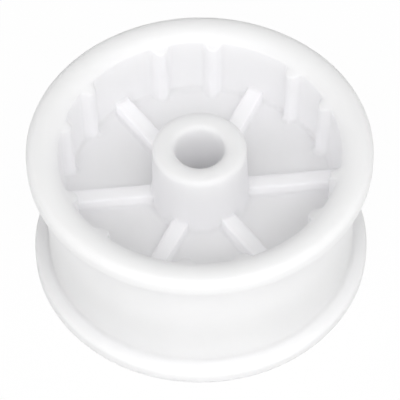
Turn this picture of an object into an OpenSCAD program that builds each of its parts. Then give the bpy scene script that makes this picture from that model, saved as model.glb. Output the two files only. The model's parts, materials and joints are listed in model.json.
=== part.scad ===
// Belt idler pulley wheel, moulded in one piece.
// The axis is Z. The wheel stands on its lower rim end at Z = 0.
// Every drawing of the section is (radius, height above the middle of the wheel).

/* [Rim] */
// Diameter over the two flanges
rim_d = 63.5; // [58:0.5:80]
// Width from one rim end to the other
wheel_w = 31.75; // [26:0.25:45]
// Diameter of the belt surface between the flanges
belt_d = 57.8; // [55:0.1:58]
// Inside diameter of the rim wall at its mouth
mouth_d = 51.8; // [46:0.1:52]
// Lean of the rim wall towards the web, for each side
wall_draft = 0.9; // [0:0.1:3]
// Thickness of a flange at its outer edge
flange_t = 3.5; // [2.5:0.1:5]
// Lean of the belt side of a flange
flange_slope = 14; // [4:1:30]
// Rounding of the outer edge at the rim end
lip_r = 1.5; // [0.5:0.1:2]
// Rounding of the flange edge beside the belt
belt_edge_r = 0.7; // [0.2:0.1:1]
// Hollow corner between the belt surface and a flange
belt_corner_r = 0.9; // [0.3:0.1:1.5]
// Width of the flat ring that the wheel stands on
foot_w = 0.8; // [0.4:0.1:1.5]
// Drop from the flat ring to the inner edge of the rim end
end_drop = 1.6; // [0.8:0.1:2.2]

/* [Hub] */
// Hub diameter at its ends
hub_d = 17.3; // [15:0.1:20]
// Lean of the hub side, wider at the web
hub_draft = 1.6; // [0:0.1:3]
// Distance of each hub end below the rim end
hub_recess = 1; // [0.3:0.05:3]
// Bore for the shaft
bore_d = 9.1; // [6:0.1:11]
// Rounding of the hub's outer edge
hub_edge_r = 1; // [0.3:0.1:1.5]
// Rounding of the bore mouth
bore_mouth_r = 0.9; // [0.3:0.1:1.2]

/* [Web and spokes] */
// Thickness of the disc that joins hub and rim
web_t = 2.2; // [1.6:0.1:4]
// Hollow corner where the web meets hub and rim
web_corner_r = 0.9; // [0.3:0.1:1.5]
// Number of radial spokes
spoke_count = 6; // [3:1:8]
// Width of a spoke along its top
spoke_w = 3; // [2:0.1:4]
// Height of a spoke above the web
spoke_h = 2.2; // [1:0.1:4]
// Lean of the spoke sides
spoke_draft = 5; // [1:1:10]
// Hollow corner between spoke and web
spoke_corner_r = 0.8; // [0.3:0.1:1]
// Bevel along the top edges of a spoke
spoke_bevel = 0.4; // [0.1:0.1:0.7]

/* [Wall ribs] */
// Angle between the two ribs that stand between one pair of spokes
rib_pair_angle = 22.5; // [16:0.5:26]
// Width of a wall rib where it meets the rim wall
rib_base_w = 3.4; // [2.6:0.1:3.8]
// Width of a wall rib at its tip
rib_tip_w = 1.6; // [1:0.1:2]
// How far a wall rib stands out from the rim wall
rib_out = 1.6; // [0.6:0.05:2.5]
// Rounding of the tip edges of a wall rib
rib_tip_r = 0.35; // [0.1:0.05:0.4]
// Distance of a rib's end below the inner edge of the rim end
rib_top_gap = 0.1; // [0.1:0.1:4]
// Drop of a rib's end from the wall to its tip
rib_end_drop = 0.5; // [0.1:0.1:2]

/* [Hidden] */
$fn = 96;
wheel_white = [0.95, 0.95, 0.96];
// Overlap that joins one shape to the next
bite = 0.4;
// How far a hollow corner is sunk, so that it crosses the face beside it
sink = 0.12;

half_w = wheel_w / 2;
half_web = web_t / 2;
half_hub = half_w - hub_recess;
rim_r = rim_d / 2;
belt_r = belt_d / 2;
mouth_r = mouth_d / 2;
bore_r = bore_d / 2;
hub_end_r = hub_d / 2;

foot_out_r = rim_r - lip_r;
foot_in_r = foot_out_r - foot_w;
edge_h = half_w - end_drop;
crown_run = foot_in_r - mouth_r;
crown_r = (crown_run * crown_run + end_drop * end_drop) / (2 * end_drop);
wall_web_r = mouth_r - (edge_h - half_web) * tan(wall_draft);
hub_web_r = hub_end_r + (half_hub - half_web) * tan(hub_draft);
flange_h = half_w - flange_t;
flange_root_h = flange_h - (rim_r - belt_r) * tan(flange_slope);

spoke_top = half_web + spoke_h;
spoke_pitch = 360 / spoke_count;
rib_top = edge_h - rib_top_gap;

// Unit vector at an angle
function heading(a) = [cos(a), sin(a)];

// A corner at p has edges that leave it at the headings a1 and a2, less than 180 apart.
// An arc of radius r that touches both edges has its centre and its ends here.
function arc_centre(p, a1, a2, r) = p + r / sin(abs(a2 - a1) / 2) * heading((a1 + a2) / 2);
function arc_end(p, a1, a2, r) = p + r / tan(abs(a2 - a1) / 2) * heading(a1);

// The two points that stand for a corner whose arc is cut later, or that bevel it
function chord(p, a1, a2, r) = [arc_end(p, a1, a2, r), arc_end(p, a2, a1, r)];

// Cuts the arc of a hollow corner
module hollow_cut(p, a1, a2, r) {
    translate(arc_centre(p, a1, a2, r)) circle(r);
}

// Cuts an outer corner down to its arc
module round_cut(p, a1, a2, r) {
    difference() {
        polygon([
            p - bite * heading((a1 + a2) / 2),
            arc_end(p, a1, a2, r),
            arc_centre(p, a1, a2, r),
            arc_end(p, a2, a1, r)
        ]);
        translate(arc_centre(p, a1, a2, r)) circle(r);
    }
}

// Draws or cuts the same on both sides of a drawing's upright and level axes
module both_levels() {
    for (level = [0, 1]) mirror([0, level]) children();
}
module both_sides() {
    for (side = [0, 1]) mirror([side, 0]) children();
}

// A list of points followed by its mirror image below the level axis
function with_mirror(points) = concat(
    points,
    [for (i = [len(points) - 1:-1:0]) [points[i].x, -points[i].y]]
);

// What lies above the curved rim end, from the inner edge to the flat ring
module crown_cut() {
    difference() {
        translate([mouth_r - bite, edge_h - bite])
            square([crown_run + bite, end_drop + 2 * bite]);
        translate([foot_in_r, half_w - crown_r]) circle(crown_r);
    }
}

// Corners of the section above the middle plane, from the bore to the belt surface
hub_corner = [hub_web_r, half_web];
wall_corner = [wall_web_r, half_web];
belt_corner = [belt_r, flange_root_h];
upper_corners = concat(
    [[bore_r, half_hub], [hub_end_r, half_hub]],
    chord(hub_corner, 90 + hub_draft, 0, web_corner_r),
    chord(wall_corner, 180, 90 - wall_draft, web_corner_r),
    [[mouth_r, edge_h], [mouth_r, half_w], [rim_r, half_w], [rim_r, flange_h]],
    chord(belt_corner, 360 + flange_slope, 270, belt_corner_r)
);

// Hub, web and rim in one section
module wheel_section() {
    difference() {
        polygon(with_mirror(upper_corners));
        both_levels() {
            hollow_cut(hub_corner, 90 + hub_draft, 0, web_corner_r);
            hollow_cut(wall_corner, 180, 90 - wall_draft, web_corner_r);
            hollow_cut(belt_corner, 360 + flange_slope, 270, belt_corner_r);
            crown_cut();
            round_cut([bore_r, half_hub], 270, 360, bore_mouth_r);
            round_cut([hub_end_r, half_hub], 180, 270 + hub_draft, hub_edge_r);
            round_cut([rim_r, half_w], 180, 270, lip_r);
            round_cut([rim_r, flange_h], 90, 180 + flange_slope, belt_edge_r);
        }
    }
}

// Section across a spoke, which stands out on both sides of the web
module spoke_section() {
    foot = [spoke_w / 2 + (spoke_h + sink) * tan(spoke_draft), half_web - sink];
    tip = [spoke_w / 2, spoke_top];
    right = concat(
        chord(tip, 180, 270 + spoke_draft, spoke_bevel),
        chord(foot, 90 + spoke_draft, 0, spoke_corner_r)
    );
    left = [for (i = [len(right) - 1:-1:0]) [-right[i].x, right[i].y]];
    difference() {
        polygon(with_mirror(concat(left, right)));
        both_levels() both_sides() hollow_cut(foot, 90 + spoke_draft, 0, spoke_corner_r);
    }
}

// One spoke, from inside the hub to inside the rim wall
module spoke() {
    start = (bore_r + hub_end_r) / 2;
    stop = (wall_web_r + belt_r) / 2;
    translate([start, 0, 0])
        rotate([90, 0, 90])
            linear_extrude(height = stop - start) spoke_section();
}

// Plan of a wall rib: its back is buried in the wall and its tip points at the hub
module rib_plan() {
    flare = atan((rib_base_w - rib_tip_w) / 2 / rib_out);
    difference() {
        polygon([
            [bite, -rib_base_w / 2],
            [0, -rib_base_w / 2],
            [-rib_out, -rib_tip_w / 2],
            [-rib_out, rib_tip_w / 2],
            [0, rib_base_w / 2],
            [bite, rib_base_w / 2]
        ]);
        both_levels() round_cut([-rib_out, rib_tip_w / 2], 270, 360 + flare, rib_tip_r);
    }
}

// One wall rib, leaning with the wall, from inside the web to the rim end
module wall_rib() {
    translate([mouth_r, 0, edge_h])
        rotate([0, wall_draft, 0])
            translate([0, 0, -edge_h])
                linear_extrude(height = edge_h) rib_plan();
}

// The ring that the wall ribs are kept to, so that their ends fall towards their tips
module rib_ring() {
    fall = rib_end_drop / rib_out;
    inner = mouth_r - 2 * rib_out;
    outer = mouth_r + bite / 2;
    rotate_extrude()
        polygon(with_mirror([
            [inner, rib_top - (mouth_r - inner) * fall],
            [outer, rib_top + (outer - mouth_r) * fall]
        ]));
}

// A pair of wall ribs in each gap, on both sides of the web
module wall_ribs() {
    intersection() {
        for (i = [0:spoke_count - 1], side = [-1, 1], face = [0, 1])
            mirror([0, 0, face])
                rotate([0, 0, (i + 0.5) * spoke_pitch + side * rib_pair_angle / 2]) wall_rib();
        rib_ring();
    }
}

// The whole wheel: section, spokes and a pair of wall ribs in each gap, on both sides
module pulley_wheel() {
    color(wheel_white)
        translate([0, 0, half_w])
            union() {
                rotate_extrude() wheel_section();
                for (i = [0:spoke_count - 1]) rotate([0, 0, i * spoke_pitch]) spoke();
                wall_ribs();
            }
}

pulley_wheel();
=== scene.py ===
"""Dryer idler pulley: a moulded wheel of natural white plastic, and the white studio it stands in."""

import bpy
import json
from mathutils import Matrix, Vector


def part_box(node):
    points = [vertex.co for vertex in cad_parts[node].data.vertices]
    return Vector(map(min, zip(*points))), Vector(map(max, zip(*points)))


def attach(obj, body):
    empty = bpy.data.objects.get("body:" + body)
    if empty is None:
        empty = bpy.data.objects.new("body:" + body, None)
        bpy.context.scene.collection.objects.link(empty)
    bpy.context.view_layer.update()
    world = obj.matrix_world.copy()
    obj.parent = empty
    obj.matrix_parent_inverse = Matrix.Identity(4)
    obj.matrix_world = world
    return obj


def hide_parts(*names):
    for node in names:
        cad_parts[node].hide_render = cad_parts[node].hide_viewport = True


bl_info = {
    "name": "Dryer idler pulley",
    "version": (1, 0, 0),
    "blender": (4, 5, 0),
    "location": "3D View > Sidebar > Idler pulley",
    "description": "Models a moulded belt idler wheel and the studio that it stands in",
    "category": "Add Mesh",
}

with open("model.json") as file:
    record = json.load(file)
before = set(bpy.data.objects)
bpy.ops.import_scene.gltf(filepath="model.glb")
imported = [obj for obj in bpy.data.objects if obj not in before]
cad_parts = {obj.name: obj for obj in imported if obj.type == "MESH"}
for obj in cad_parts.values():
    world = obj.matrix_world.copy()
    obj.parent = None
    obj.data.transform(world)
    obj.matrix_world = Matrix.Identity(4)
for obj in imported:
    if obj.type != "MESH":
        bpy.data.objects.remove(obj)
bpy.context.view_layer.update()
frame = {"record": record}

import json
import math
from collections import namedtuple

import bmesh
import bpy
from mathutils import Matrix, Vector

MM = 0.001
NODE = "pulley_wheel"
BORE = next(mount for mount in frame["record"]["mounts"] if mount["kind"] == "bore")
LOW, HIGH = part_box(NODE)

# Merge distance of copied sectors, well under the closest spacing of the cage
MERGE = 0.002 * MM

# Rows of the cage that hold a form in place: how far they lie from the bore's mouth, from
# the hub's end, above a spoke's top and below a rib's end, and where they cross the web
BORE_ROW = 4 * MM
HUB_ROW = 3 * MM
SPOKE_ROW = 1.2 * MM
RIB_ROW = 0.9 * MM
WEB_ROWS = (0.15, 0.5, 0.85)
CROWN_STEPS = 5

# Patterns in the plastic, in cells per metre, and how much its roughness varies
CLOUD_SCALE = 90
GLOSS_SCALE = 420
SKIN_SCALE = 1600
GLOSS_SPREAD = 0.04
SKIN_RELIEF = 0.05 * MM

# How much light the floor gives back
PAPER_WHITE = 0.9


def length(name, description, millimetres):
    """A length property that a user sets in the scene's units."""
    return bpy.props.FloatProperty(
        name=name,
        description=description,
        default=millimetres * MM,
        min=0.0,
        precision=5,
        unit="LENGTH",
        subtype="DISTANCE",
    )


def angle(name, description, degrees):
    """An angle property, shown in degrees."""
    return bpy.props.FloatProperty(
        name=name,
        description=description,
        default=math.radians(degrees),
        unit="ROTATION",
        subtype="ANGLE",
    )


def share(name, description, value, top=1.0):
    """A plain number from 0 up to top."""
    return bpy.props.FloatProperty(
        name=name, description=description, default=value, min=0.0, max=top
    )


def colour(name, description, value):
    """A linear colour property."""
    return bpy.props.FloatVectorProperty(
        name=name,
        description=description,
        default=value,
        size=3,
        min=0.0,
        max=1.0,
        subtype="COLOR",
    )


class RimSizes(bpy.types.PropertyGroup):
    belt_diameter: length("Belt surface", "Diameter between the flanges", 57.8)
    mouth_diameter: length("Mouth", "Inside diameter of the rim wall at its mouth", 51.8)
    wall_draft: angle("Wall draft", "Lean of the inside of the rim wall", 0.9)
    flange_thickness: length("Flange", "Thickness of a flange at its outer edge", 3.5)
    flange_slope: angle("Flange slope", "Lean of the belt side of a flange", 14.0)
    lip_radius: length("Lip", "Rounding of the outer edge at the rim end", 1.5)
    belt_edge_radius: length("Belt edge", "Rounding of the flange beside the belt", 0.7)
    belt_corner_radius: length("Belt corner", "Hollow corner at the belt surface", 0.9)
    mouth_edge: length("Mouth edge", "Rounding of the inner edge of the rim end", 0.4)
    foot_width: length("Foot", "Width of the flat ring at the rim end", 0.8)
    end_drop: length("End drop", "Drop from the flat ring to the inner edge", 1.6)


class HubSizes(bpy.types.PropertyGroup):
    hub_diameter: length("Hub", "Diameter of the hub at its ends", 17.3)
    hub_draft: angle("Hub draft", "Lean of the hub side, wider at the web", 1.6)
    hub_recess: length("Recess", "Distance of each hub end below the rim end", 1.0)
    edge_radius: length("Edge", "Rounding of the outer edge of the hub", 1.0)
    mouth_radius: length("Bore mouth", "Rounding of the bore mouth", 0.9)


class WebSizes(bpy.types.PropertyGroup):
    web_thickness: length("Web", "Thickness of the disc between hub and rim", 2.2)
    corner_radius: length("Web corner", "Hollow corner of the web at hub and rim", 0.9)
    spoke_count: bpy.props.IntProperty(
        name="Spokes", description="Number of radial spokes", default=6, min=3, max=8
    )
    spoke_width: length("Spoke width", "Width of a spoke along its top", 3.0)
    spoke_height: length("Spoke height", "Height of a spoke above the web", 2.2)
    spoke_draft: angle("Spoke draft", "Lean of the spoke sides", 5.0)
    spoke_round: length("Spoke edge", "Rounding of the top edges of a spoke", 0.5)
    spoke_corner: length("Spoke corner", "Hollow corner beside a spoke", 0.8)
    rib_pair_angle: angle("Rib pair", "Angle between the two ribs of a pair", 22.5)
    rib_base: length("Rib base", "Width of a wall rib at the rim wall", 3.4)
    rib_tip: length("Rib tip", "Width of a wall rib at its tip", 1.6)
    rib_out: length("Rib depth", "How far a wall rib stands out", 1.6)
    rib_soft: length("Rib foot", "Reach of the hollow beside a wall rib", 0.6)
    rib_gap: length("Rib gap", "Distance of a rib's end below the inner edge", 0.1)
    rib_drop: length("Rib drop", "Drop of a rib's end from the wall to its tip", 0.5)


class PlasticFinish(bpy.types.PropertyGroup):
    tint: colour("Plastic", "Colour of the natural white plastic", (0.98, 0.974, 0.994))
    shade: colour("Cloud", "Colour of its faintly darker clouds", (0.965, 0.957, 0.984))
    translucency: share("Translucency", "Share of light scattered below the surface", 1.0)
    depth: length("Depth", "How far light travels below the surface", 6.0)
    gloss: share("Roughness", "Roughness of the moulded surface", 0.45)
    shine: share("Shine", "Strength of the surface's reflection", 0.35)


class StudioLook(bpy.types.PropertyGroup):
    floor_size: length("Floor", "Side of the floor", 3000.0)
    floor_white: share("White", "Share of the floor that shows as plain white", 0.97)
    front_light: share("Front light", "Strength of the light from in front", 1.08, 2.0)
    back_light: share("Back light", "Strength of the light from behind", 0.13, 2.0)
    light_height: angle("Light height", "Elevation that the front light centres on", -6.0)
    key_power: bpy.props.FloatProperty(
        name="Lamp", description="Power of the lamp above the camera", default=3.6, unit="POWER"
    )
    key_height: angle("Lamp height", "Elevation of the lamp above the floor", 60.0)
    key_distance: length("Lamp distance", "From the lamp to the wheel's middle", 900.0)
    key_size: length("Lamp size", "Diameter of the lamp", 800.0)
    azimuth: angle("Azimuth", "Direction of the camera round the wheel", -5.1)
    elevation: angle("Elevation", "Height of the camera above the floor", 52.222)
    roll: angle("Roll", "Turn of the camera about its own axis", 0.765)
    distance: length("Distance", "From the camera to the wheel's middle", 441.15)
    target_height: length("Target", "Height on the axis that the camera looks at", 14.3)
    shift_right: length("Right", "Sideways offset of the camera", -0.061)
    shift_up: length("Up", "Upward offset of the camera", 0.399)
    lens: bpy.props.FloatProperty(
        name="Lens",
        description="Focal length of the camera",
        default=211.26,
        unit="CAMERA",
    )


# One corner of the section: where it is, the radius that rounds it, and how closely
# its ring of vertices follows the spokes and ribs (1) or is spread evenly (0)
Corner = namedtuple("Corner", "place radius grip")

# One column of vertices: its offset from the middle of its spoke or rib, the height of
# the web's top there, and how far the wall stands out there
Column = namedtuple("Column", "offset floor out")


def corner(radius, height, rounding=0.0, grip=0.0):
    """A corner at a radius from the axis and a height above the middle plane."""
    return Corner(Vector((radius, height)), rounding, grip)


def rounded(path):
    """(place, grip) of the path's points, with four in place of each rounded corner."""
    points = []
    for i, (place, radius, grip) in enumerate(path):
        if radius == 0.0:
            points.append((place, grip))
            continue
        back = (path[i - 1].place - place).normalized()
        ahead = (path[i + 1].place - place).normalized()
        turn = math.pi - back.angle(ahead)
        reach = radius * math.tan(turn / 2)
        near = reach - radius * math.tan(turn / 4)
        for way in (back * reach, back * near, ahead * near, ahead * reach):
            points.append((place + way, grip))
    return points


def between(a, b, t):
    """The value that lies at share t of the way from a to b."""
    return a + (b - a) * t


class WheelShape:
    """Derived sizes of the wheel. Heights are above its middle plane."""

    def __init__(self, scene):
        rim, hub, web = scene.idler_rim, scene.idler_hub, scene.idler_web
        self.rim, self.hub, self.web = rim, hub, web
        self.half_w = (HIGH.z - LOW.z) / 2
        self.rim_r = (HIGH.x - LOW.x) / 2
        self.bore_r = BORE["dims"]["r_mm"] * MM
        self.half_hub = self.half_w - hub.hub_recess
        self.half_web = web.web_thickness / 2
        self.edge_h = self.half_w - rim.end_drop
        self.mouth_r = rim.mouth_diameter / 2
        self.foot_in_r = self.rim_r - rim.lip_radius - rim.foot_width
        self.belt_r = rim.belt_diameter / 2
        self.flange_h = self.half_w - rim.flange_thickness
        rise = (self.rim_r - self.belt_r) * math.tan(rim.flange_slope)
        self.flange_root_h = self.flange_h - rise
        self.rib_top = self.edge_h - web.rib_gap
        self.spoke_top = self.half_web + web.spoke_height
        self.half_pitch = math.pi / web.spoke_count
        self.rib_angle = self.half_pitch - web.rib_pair_angle / 2
        self.spoke = self.spoke_columns()
        self.rib = self.rib_columns()
        self.columns, self.wall_bearings = self.all_columns()

    def hub_side(self, height):
        """Radius of the hub's side."""
        lean = math.tan(self.hub.hub_draft)
        return self.hub.hub_diameter / 2 + (self.half_hub - height) * lean

    def wall_side(self, height):
        """Radius of the inside of the rim wall."""
        return self.mouth_r - (self.edge_h - height) * math.tan(self.rim.wall_draft)

    def spoke_columns(self):
        """Columns from the middle of a spoke to the web beside it."""
        web = self.web
        lean = math.tan(web.spoke_draft)
        edge = web.spoke_width / 2
        foot = edge + web.spoke_height * lean
        top, low = self.spoke_top, self.half_web
        bend, hollow = web.spoke_round, web.spoke_corner
        return [
            Column(0.0, top, 0.0),
            Column(edge - bend, top, 0.0),
            Column(edge, top, 0.0),
            Column(edge + bend * lean, top - bend, 0.0),
            Column(foot - hollow * lean, low + hollow, 0.0),
            Column(foot, low, 0.0),
            Column(foot + hollow, low, 0.0),
        ]

    def rib_columns(self):
        """Columns across a wall rib, from the wall on one side to the wall on the other."""
        web = self.web
        base, tip = web.rib_base / 2, web.rib_tip / 2
        side = [
            Column(base + web.rib_soft, self.half_web, 0.0),
            Column(base, self.half_web, 0.0),
            Column((base + tip) / 2, self.half_web, web.rib_out / 2),
            Column(tip, self.half_web, web.rib_out),
        ]
        near = [column._replace(offset=-column.offset) for column in side]
        return near + [Column(0.0, self.half_web, web.rib_out)] + side[::-1]

    def all_columns(self):
        """Columns from a spoke's middle to the middle of its gap, and their angles at the wall."""
        plain = Column(0.0, self.half_web, 0.0)
        wall = self.wall_side(0.0)
        beside = self.spoke[-1].offset / wall
        ribs = [self.rib_angle + column.offset / wall for column in self.rib]
        spare = [between(beside, ribs[0], t) for t in (1 / 3, 2 / 3)]
        last = [between(ribs[-1], self.half_pitch, 0.5), self.half_pitch]
        columns = self.spoke + [plain] * 2 + self.rib + [plain] * 2
        return columns, [0.0] * len(self.spoke) + spare + ribs + last

    def bearing(self, index, radius):
        """Angle of a column at a radius: spokes keep their width, ribs fan out to their place."""
        if index < len(self.spoke):
            return math.asin(self.spoke[index].offset / radius)
        first = len(self.spoke) - 1
        beside = math.asin(self.spoke[-1].offset / radius)
        spread = (index - first) / (len(self.columns) - 1 - first)
        near_hub = between(beside, self.half_pitch, spread)
        hub_r = self.hub_side(self.half_web)
        rib_r = self.wall_side(self.half_web) - self.web.rib_out - self.web.corner_radius
        t = min(max((radius - hub_r) / (rib_r - hub_r), 0.0), 1.0)
        return between(near_hub, self.wall_bearings[index], t)

    def crown(self, steps):
        """Corners along the curved rim end, from its inner edge to the flat ring."""
        run = self.foot_in_r - self.mouth_r
        drop = self.rim.end_drop
        radius = (run * run + drop * drop) / (2 * drop)
        sweep = math.asin(run / radius)
        for i in range(1, steps):
            t = 1 - i / steps
            across, up = radius * math.sin(sweep * t), radius * math.cos(sweep * t)
            yield corner(self.foot_in_r - across, self.half_w - radius + up, 0.0, t)

    def section(self, floor, out):
        """Rows of the upper half section where the web's top is at floor and the wall stands out."""
        rim, hub, web = self.rim, self.hub, self.web
        above = self.spoke_top + SPOKE_ROW
        high = self.half_hub - HUB_ROW
        drop = web.rib_drop * out / web.rib_out
        tip_top = self.rib_top - drop
        raised = (floor - self.half_web) / web.spoke_height
        soft = between(web.corner_radius, web.spoke_round, raised)
        hub_foot = self.hub_side(floor)
        wall_foot = self.wall_side(floor) - out
        shoulder = self.rib_top - web.rib_drop - RIB_ROW
        path = [
            corner(self.bore_r, 0),
            corner(self.bore_r, self.half_hub - BORE_ROW),
            corner(self.bore_r, self.half_hub, hub.mouth_radius),
            corner(hub.hub_diameter / 2, self.half_hub, hub.edge_radius),
            corner(self.hub_side(high), high, 0, 0.3),
            corner(self.hub_side(above), above, 0, 1),
            corner(hub_foot, floor, soft, 1),
        ]
        for t in WEB_ROWS:
            path.append(corner(between(hub_foot + soft, wall_foot - soft, t), floor, 0, 1))
        path += [
            corner(wall_foot, floor, soft, 1),
            corner(self.wall_side(above) - out, above, 0, 1),
            corner(self.wall_side(shoulder) - out, shoulder, 0, 1),
            corner(self.wall_side(tip_top - rim.mouth_edge) - out, tip_top - rim.mouth_edge, 0, 1),
            corner(self.wall_side(tip_top) - out, tip_top, 0, 1),
            corner(self.wall_side(self.rib_top) - out / 2, self.rib_top - drop / 2, 0, 1),
            corner(self.mouth_r, self.edge_h, 0, 1),
        ]
        path += self.crown(CROWN_STEPS)
        path += [
            corner(self.foot_in_r, self.half_w),
            corner(self.rim_r, self.half_w, rim.lip_radius),
            corner(self.rim_r, self.flange_h, rim.belt_edge_radius),
            corner(self.belt_r, self.flange_root_h, rim.belt_corner_radius),
            corner(self.belt_r, self.flange_root_h / 2),
            corner(self.belt_r, 0),
        ]
        return rounded(path)


def spin_section(bm, shape):
    """Turns the plain section from a spoke's middle to the middle of its gap."""
    row = bm.verts.layers.int.new("row")
    wire = []
    for i, (place, _) in enumerate(shape.section(shape.half_web, 0.0)):
        vertex = bm.verts.new((place.x, 0, place.y))
        vertex[row] = i
        wire.append(vertex)
    wire += [bm.edges.new(pair) for pair in zip(wire, wire[1:])]
    bmesh.ops.spin(
        bm,
        geom=wire,
        cent=(0, 0, 0),
        axis=(0, 0, 1),
        dvec=(0, 0, 0),
        angle=shape.half_pitch,
        steps=len(shape.columns) - 1,
        use_merge=False,
        use_normal_flip=False,
        use_duplicate=False,
    )
    return row


def raise_spoke_and_rib(bm, shape, row):
    """Moves each column so that it follows its half spoke or its wall rib."""
    sections = [shape.section(column.floor, column.out) for column in shape.columns]
    last = len(sections) - 1
    for vertex in bm.verts:
        even = math.atan2(vertex.co.y, vertex.co.x)
        index = round(even / shape.half_pitch * last)
        place, grip = sections[index][vertex[row]]
        turn = between(even, shape.bearing(index, place.x), grip)
        vertex.co = (place.x * math.cos(turn), place.x * math.sin(turn), place.y)


def repeat_sector(bm, shape):
    """Mirrors the sector down and across, and repeats it for every spoke."""
    for axis in "ZY":
        bmesh.ops.mirror(
            bm, geom=everything(bm), matrix=Matrix.Identity(4), merge_dist=MERGE, axis=axis
        )
    count = shape.web.spoke_count
    bmesh.ops.spin(
        bm,
        geom=everything(bm),
        cent=(0, 0, 0),
        axis=(0, 0, 1),
        dvec=(0, 0, 0),
        angle=math.tau * (count - 1) / count,
        steps=count - 1,
        use_merge=False,
        use_normal_flip=False,
        use_duplicate=True,
    )
    bmesh.ops.remove_doubles(bm, verts=bm.verts, dist=MERGE)


def everything(bm):
    """All vertices, edges and faces of a mesh."""
    return bm.verts[:] + bm.edges[:] + bm.faces[:]


def finish_mesh(bm, name):
    """Turns a closed bmesh into a smooth object, with its faces pointing outwards."""
    bmesh.ops.recalc_face_normals(bm, faces=bm.faces)
    for face in bm.faces:
        face.smooth = True
    open_edges = sum(not edge.is_manifold for edge in bm.edges)
    if open_edges:
        raise RuntimeError(f"{name} has {open_edges} open or doubled edges")
    mesh = bpy.data.meshes.new(name)
    bm.to_mesh(mesh)
    bm.free()
    piece = bpy.data.objects.new(name, mesh)
    bpy.context.scene.collection.objects.link(piece)
    return piece


def link(tree, source, target):
    """Joins two sockets of a node tree."""
    tree.links.new(source, target)


def noise(tree, place, scale, detail):
    """A noise texture at a scale in cells per metre."""
    node = tree.nodes.new("ShaderNodeTexNoise")
    node.inputs["Scale"].default_value = scale
    node.inputs["Detail"].default_value = detail
    link(tree, place, node.inputs["Vector"])
    return node.outputs["Fac"]


def spread(tree, value, low, high):
    """Maps a noise value onto the range from low to high."""
    node = tree.nodes.new("ShaderNodeMapRange")
    node.inputs["From Min"].default_value = 0.3
    node.inputs["From Max"].default_value = 0.7
    node.inputs["To Min"].default_value = low
    node.inputs["To Max"].default_value = high
    link(tree, value, node.inputs["Value"])
    return node.outputs["Result"]


def natural_white_plastic(finish):
    """Translucent moulded plastic: faint clouds, uneven gloss and a fine moulded skin."""
    material = bpy.data.materials.new("natural_white_plastic")
    material.use_nodes = True
    tree = material.node_tree
    shader = tree.nodes["Principled BSDF"]
    place = tree.nodes.new("ShaderNodeTexCoord").outputs["Object"]

    clouds = tree.nodes.new("ShaderNodeMix")
    clouds.data_type = "RGBA"
    clouds.inputs["A"].default_value = (*finish.shade, 1)
    clouds.inputs["B"].default_value = (*finish.tint, 1)
    link(tree, spread(tree, noise(tree, place, CLOUD_SCALE, 3), 0, 1), clouds.inputs["Factor"])
    link(tree, clouds.outputs["Result"], shader.inputs["Base Color"])

    grain = noise(tree, place, GLOSS_SCALE, 4)
    rough = spread(tree, grain, finish.gloss - GLOSS_SPREAD, finish.gloss + GLOSS_SPREAD)
    link(tree, rough, shader.inputs["Roughness"])

    skin = tree.nodes.new("ShaderNodeBump")
    skin.inputs["Strength"].default_value = 0.12
    skin.inputs["Distance"].default_value = SKIN_RELIEF
    link(tree, noise(tree, place, SKIN_SCALE, 3), skin.inputs["Height"])
    link(tree, skin.outputs["Normal"], shader.inputs["Normal"])

    shader.inputs["IOR"].default_value = 1.5
    shader.inputs["Specular IOR Level"].default_value = finish.shine
    shader.inputs["Subsurface Weight"].default_value = finish.translucency
    shader.inputs["Subsurface Radius"].default_value = (1.0, 1.0, 1.0)
    shader.inputs["Subsurface Scale"].default_value = finish.depth
    return material


class IDLER_OT_build_wheel(bpy.types.Operator):
    """Model the moulded wheel with its hub, web, spokes, wall ribs and flanges"""

    bl_idname = "idler.build_wheel"
    bl_label = "Build wheel"
    bl_options = {"REGISTER", "UNDO"}

    def execute(self, context):
        shape = WheelShape(context.scene)
        bm = bmesh.new()
        row = spin_section(bm, shape)
        raise_spoke_and_rib(bm, shape, row)
        repeat_sector(bm, shape)
        bmesh.ops.translate(bm, verts=bm.verts, vec=(0, 0, LOW.z + shape.half_w))
        wheel = finish_mesh(bm, "moulded_wheel")
        smooth = wheel.modifiers.new("Smooth curves", "SUBSURF")
        smooth.levels = smooth.render_levels = 1
        wheel.data.materials.append(natural_white_plastic(context.scene.idler_plastic))
        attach(wheel, "root")
        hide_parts(NODE)
        return {"FINISHED"}


def plain_white(studio):
    """Floor that shows as white, with a faint shadow, and lights the wheel as white paper does."""
    material = bpy.data.materials.new("white_floor")
    material.use_nodes = True
    tree = material.node_tree
    tree.nodes.clear()
    paper = tree.nodes.new("ShaderNodeBsdfDiffuse")
    paper.inputs["Color"].default_value = (PAPER_WHITE, PAPER_WHITE, PAPER_WHITE, 1)
    white = tree.nodes.new("ShaderNodeEmission")
    blend = tree.nodes.new("ShaderNodeMixShader")
    seen = seen_directly(tree, studio.floor_white)
    link(tree, seen, blend.inputs["Fac"])
    link(tree, paper.outputs["BSDF"], blend.inputs[1])
    link(tree, white.outputs["Emission"], blend.inputs[2])
    out = tree.nodes.new("ShaderNodeOutputMaterial")
    link(tree, blend.outputs["Shader"], out.inputs["Surface"])
    return material


def seen_directly(tree, amount):
    """The amount on rays from the camera, a reflection or a refraction, and 0 on the rest."""
    path = tree.nodes.new("ShaderNodeLightPath")
    value = path.outputs["Is Camera Ray"]
    for name in ("Is Glossy Ray", "Is Transmission Ray"):
        largest = tree.nodes.new("ShaderNodeMath")
        largest.operation = "MAXIMUM"
        link(tree, value, largest.inputs[0])
        link(tree, path.outputs[name], largest.inputs[1])
        value = largest.outputs["Value"]
    scaled = tree.nodes.new("ShaderNodeMath")
    scaled.operation = "MULTIPLY"
    scaled.inputs[1].default_value = amount
    link(tree, value, scaled.inputs[0])
    return scaled.outputs["Value"]


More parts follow.
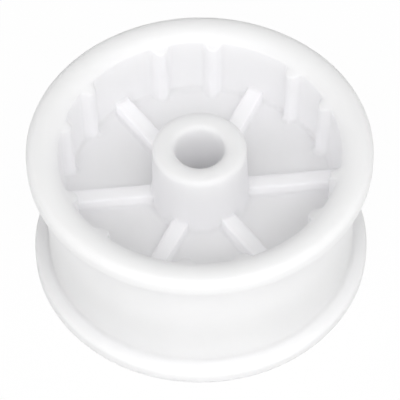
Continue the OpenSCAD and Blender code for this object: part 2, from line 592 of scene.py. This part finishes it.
def light_sky(scene, studio):
    """World that shows as white and lights the wheel softly, more from the front."""
    world = bpy.data.worlds.new("studio")
    world.use_nodes = True
    scene.world = world
    tree = world.node_tree
    sky = tree.nodes["Background"]
    facing = tree.nodes.new("ShaderNodeVectorMath")
    facing.operation = "DOT_PRODUCT"
    link(tree, tree.nodes.new("ShaderNodeTexCoord").outputs["Generated"], facing.inputs[0])
    height = studio.light_height
    facing.inputs[1].default_value = (0, -math.cos(height), math.sin(height))
    light = tree.nodes.new("ShaderNodeMapRange")
    light.inputs["From Min"].default_value = -1
    light.inputs["To Min"].default_value = studio.back_light
    light.inputs["To Max"].default_value = studio.front_light
    link(tree, facing.outputs["Value"], light.inputs["Value"])
    strength = tree.nodes.new("ShaderNodeMapRange")
    link(tree, light.outputs["Result"], strength.inputs["To Min"])
    link(tree, seen_directly(tree, 1.0), strength.inputs["Value"])
    link(tree, strength.outputs["Result"], sky.inputs["Strength"])
    sky.inputs["Color"].default_value = (1, 1, 1, 1)


def soft_lamp(scene, studio, aim):
    """A wide round lamp in front of the wheel and above the camera, which faces the wheel."""
    lamp = bpy.data.lights.new("key_lamp", "AREA")
    lamp.shape = "DISK"
    lamp.size = studio.key_size
    lamp.energy = studio.key_power
    holder = bpy.data.objects.new("key_lamp", lamp)
    towards = Vector((0, -math.cos(studio.key_height), math.sin(studio.key_height)))
    holder.location = aim + towards * studio.key_distance
    holder.rotation_euler = towards.to_track_quat("Z", "Y").to_euler()
    scene.collection.objects.link(holder)


def place_camera(scene, studio):
    """Camera at the photograph's viewing angle, with its small tilt and offset."""
    a, e, roll = studio.azimuth, studio.elevation, studio.roll
    right = Vector((math.cos(a), math.sin(a), 0))
    back = Vector((math.sin(a) * math.cos(e), -math.cos(a) * math.cos(e), math.sin(e)))
    up = back.cross(right)
    data = bpy.data.cameras.new("camera")
    data.sensor_fit = "HORIZONTAL"
    data.sensor_width = 36
    data.lens = studio.lens
    data.clip_start = 0.01
    camera = bpy.data.objects.new("camera", data)
    target = Vector((0, 0, LOW.z + studio.target_height))
    target += right * studio.shift_right + up * studio.shift_up
    camera.location = target + back * studio.distance
    turned_right = right * math.cos(roll) - up * math.sin(roll)
    turned_up = up * math.cos(roll) + right * math.sin(roll)
    axes = Matrix((turned_right, turned_up, back)).transposed()
    camera.rotation_euler = axes.to_euler()
    scene.collection.objects.link(camera)
    scene.camera = camera


class IDLER_OT_build_studio(bpy.types.Operator):
    """Make the white floor, the soft lamp, the light all around and the camera"""

    bl_idname = "idler.build_studio"
    bl_label = "Build studio"
    bl_options = {"REGISTER", "UNDO"}

    def execute(self, context):
        scene = context.scene
        studio = scene.idler_studio
        bm = bmesh.new()
        bmesh.ops.create_grid(bm, x_segments=1, y_segments=1, size=studio.floor_size / 2)
        bmesh.ops.translate(bm, verts=bm.verts, vec=(0, 0, LOW.z))
        mesh = bpy.data.meshes.new("floor")
        bm.to_mesh(mesh)
        bm.free()
        floor = bpy.data.objects.new("floor", mesh)
        floor.data.materials.append(plain_white(studio))
        scene.collection.objects.link(floor)
        light_sky(scene, studio)
        aim = Vector((0, 0, LOW.z + studio.target_height))
        soft_lamp(scene, studio, aim)
        place_camera(scene, studio)
        scene.view_settings.view_transform = "Standard"
        return {"FINISHED"}


class IDLER_PT_panel(bpy.types.Panel):
    """Lists the builders and the sizes they use"""

    bl_idname = "IDLER_PT_panel"
    bl_label = "Idler pulley"
    bl_space_type = "VIEW_3D"
    bl_region_type = "UI"
    bl_category = "Idler pulley"

    def draw(self, context):
        for operator in OPERATORS:
            self.layout.operator(operator.bl_idname)
        for name, group in GROUPS.items():
            box = self.layout.box()
            for field in group.__annotations__:
                box.prop(getattr(context.scene, name), field)


GROUPS = {
    "idler_rim": RimSizes,
    "idler_hub": HubSizes,
    "idler_web": WebSizes,
    "idler_plastic": PlasticFinish,
    "idler_studio": StudioLook,
}
OPERATORS = (IDLER_OT_build_studio, IDLER_OT_build_wheel)
CLASSES = (*GROUPS.values(), *OPERATORS, IDLER_PT_panel)


def register():
    for cls in CLASSES:
        bpy.utils.register_class(cls)
    for name, group in GROUPS.items():
        setattr(bpy.types.Scene, name, bpy.props.PointerProperty(type=group))


def unregister():
    for name in GROUPS:
        delattr(bpy.types.Scene, name)
    for cls in reversed(CLASSES):
        bpy.utils.unregister_class(cls)


def main():
    register()
    bpy.ops.idler.build_studio()
    bpy.ops.idler.build_wheel()


if __name__ == "__main__":
    main()
